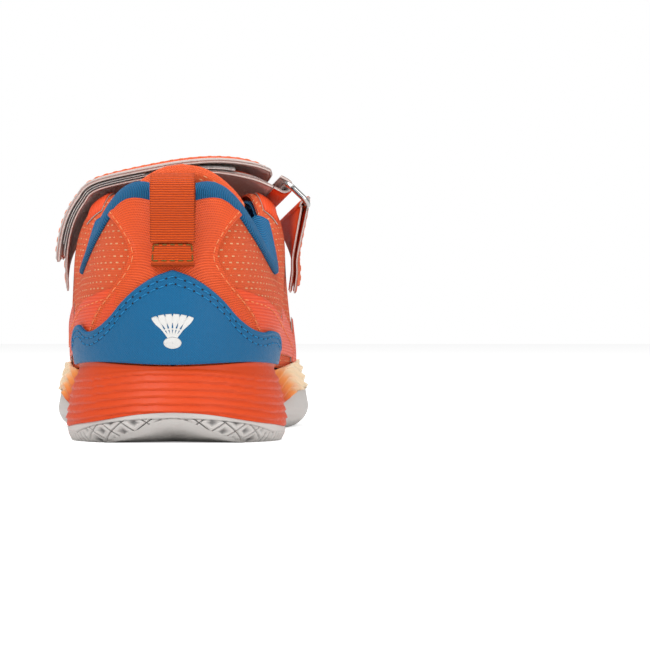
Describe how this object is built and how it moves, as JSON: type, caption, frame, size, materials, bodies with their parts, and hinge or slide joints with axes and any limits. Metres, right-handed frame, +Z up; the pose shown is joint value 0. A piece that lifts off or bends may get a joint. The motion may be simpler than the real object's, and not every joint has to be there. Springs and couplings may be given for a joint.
{
  "type": "court shoe",
  "caption": "Low-cut child's court shoe with a foam and rubber sole, knit and synthetic upper, padded collar, heel pull loop and ring-and-strap hook-and-loop closure.",
  "frame": {"origin": "on the ground under the middle of the heel's flat area, at the shoe's middle line", "axes": "+Z up, +Y towards the toe, +X towards the inner (medial) side of the left foot"},
  "size_m": [0.091, 0.2369, 0.0939],
  "materials": {
    "rubber": "matt moulded rubber",
    "foam": "satin moulded foam",
    "plate": "moulded",
    "board": "non-woven board",
    "sock_foam": "knit-topped foam",
    "knit_orange": "knit mesh",
    "synthetic_orange": "embossed synthetic leather",
    "synthetic_blue": "embossed synthetic leather",
    "print_white": "printed film",
    "stiffener": "moulded sheet",
    "padding": "open foam",
    "knit_blue": "knit lining",
    "webbing_orange": "ribbed webbing",
    "pile": "loop pile",
    "hook": "hook tape",
    "ring_metal": "polished plated wire"
  },
  "bodies": {
    "shoe": {"collar_foam": "padding", "collar_lining": "knit_blue", "counter_cover": "synthetic_blue", "counter_print": "print_white", "heel_overlay": "synthetic_orange", "heel_stiffener": "stiffener", "insole_board": "board", "lateral_eyestay": "synthetic_orange", "lateral_lining": "knit_blue", "lateral_overlay": "synthetic_orange", "lateral_upper": "knit_orange", "medial_eyestay": "synthetic_orange", "medial_lining": "knit_blue", "medial_overlay": "synthetic_orange", "medial_upper": "knit_orange", "midsole": "foam", "outsole": "rubber", "pull_loop_base": "webbing_orange", "ring_tab": "synthetic_orange", "shank_plate": "plate", "sockliner": "sock_foam", "strap_base": "synthetic_orange", "strap_fold": "synthetic_orange", "strap_loop_patch": "pile", "toe_overlay": "synthetic_orange", "toe_stiffener": "stiffener", "tongue_cover": "knit_orange", "tongue_lining": "knit_blue", "tongue_pad": "padding"},
    "tongue_top": {"tongue_top_cover": "knit_orange", "tongue_top_pad": "padding", "tongue_top_lining": "knit_blue", "tongue_binding": "synthetic_orange"},
    "flap": {"strap_flap": "synthetic_orange", "strap_hook_patch": "hook"},
    "ring": {"strap_ring": "ring_metal"},
    "loop": {"pull_loop": "webbing_orange"}
  },
  "joints": [
    {"name": "strap_flap_hinge", "type": "hinge", "parent": "shoe", "child": "flap", "pos_m": [0.03276, 0.07354, 0.08128], "axis": [-0.2405, 0.949, -0.2038], "range_deg": [0, 115]},
    {"name": "ring_hinge", "type": "hinge", "parent": "shoe", "child": "ring", "pos_m": [0.03707, 0.07303, 0.07253], "axis": [-0.2405, 0.949, -0.2038], "range_deg": [-1.5, 1.5]},
    {"name": "pull_loop_hinge", "type": "hinge", "parent": "shoe", "child": "loop", "pos_m": [0, -0.03471, 0.0617], "axis": [1, 0, 0], "range_deg": [0, 95]},
    {"name": "tongue_top_hinge", "type": "hinge", "parent": "shoe", "child": "tongue_top", "pos_m": [0, 0.057, 0.07844], "axis": [1, 0, 0], "range_deg": [-7, 7]}
  ]
}
